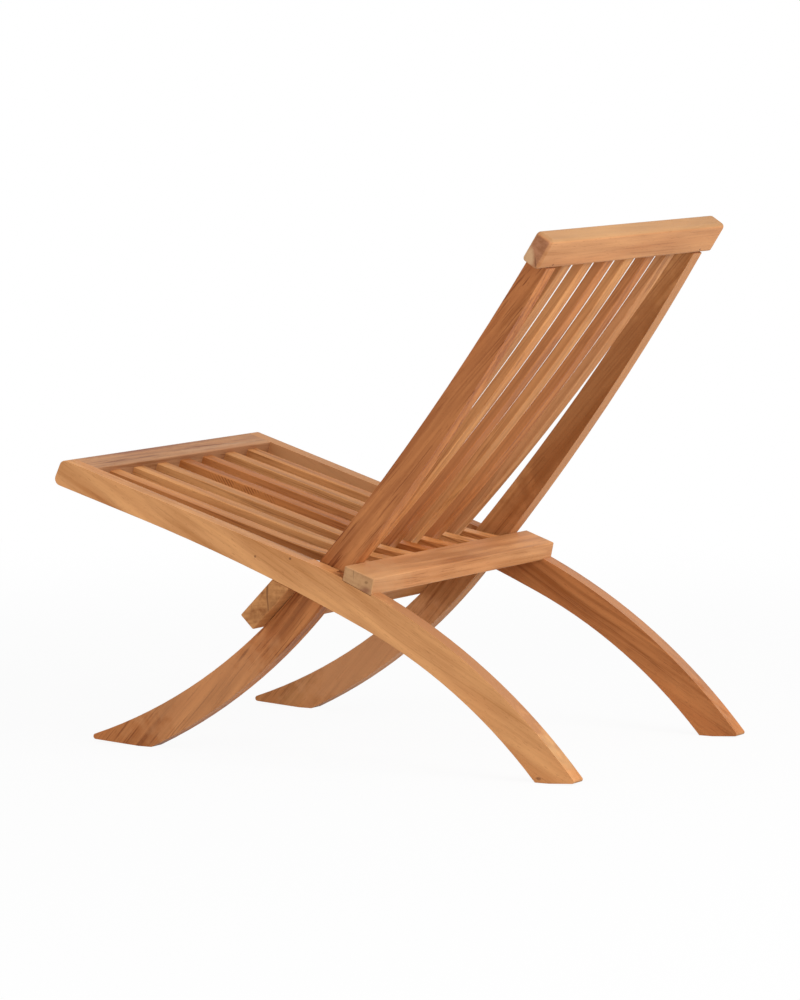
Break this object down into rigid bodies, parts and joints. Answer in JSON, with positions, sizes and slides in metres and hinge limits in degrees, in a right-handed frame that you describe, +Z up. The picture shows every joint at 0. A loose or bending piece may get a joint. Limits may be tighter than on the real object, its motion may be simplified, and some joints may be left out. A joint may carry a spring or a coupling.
{
  "type": "folding slatted chair",
  "caption": "Low folding slatted wooden garden chair without arms; the seat frame and rear legs cross and pivot on the back frame and front legs.",
  "frame": {"origin": "on the floor, under the centre of the open chair's outline", "axes": "+X towards the sitter's left, -Y the way the sitter faces, +Z up"},
  "size_m": [0.5, 0.786, 0.7053],
  "materials": {
    "teak": "satin, lightly oiled",
    "steel": "brushed stainless"
  },
  "bodies": {
    "back_frame": {"back_rail_left": "teak", "back_rail_right": "teak", "lower_crossbar": "teak", "lower_crossbar_dowels": "teak", "top_rail": "teak", "top_rail_pins": "steel", "pivot_pins": "steel", "spacer_washers": "steel", "back_slat_1": "teak", "back_slat_2": "teak", "back_slat_3": "teak", "back_slat_4": "teak", "back_slat_5": "teak", "back_slat_6": "teak"},
    "seat_frame": {"seat_rail_left": "teak", "seat_rail_right": "teak", "front_rail": "teak", "rear_crossbar": "teak", "rear_crossbar_dowels": "teak", "seat_slat_1": "teak", "seat_slat_2": "teak", "seat_slat_3": "teak", "seat_slat_4": "teak", "seat_slat_5": "teak", "seat_slat_6": "teak", "seat_slat_7": "teak"}
  },
  "joints": [
    {"name": "fold", "type": "hinge", "parent": "back_frame", "child": "seat_frame", "pos_m": [0, 0.00896, 0.23966], "axis": [-1, 0, 0], "range_deg": [0, 102]}
  ]
}
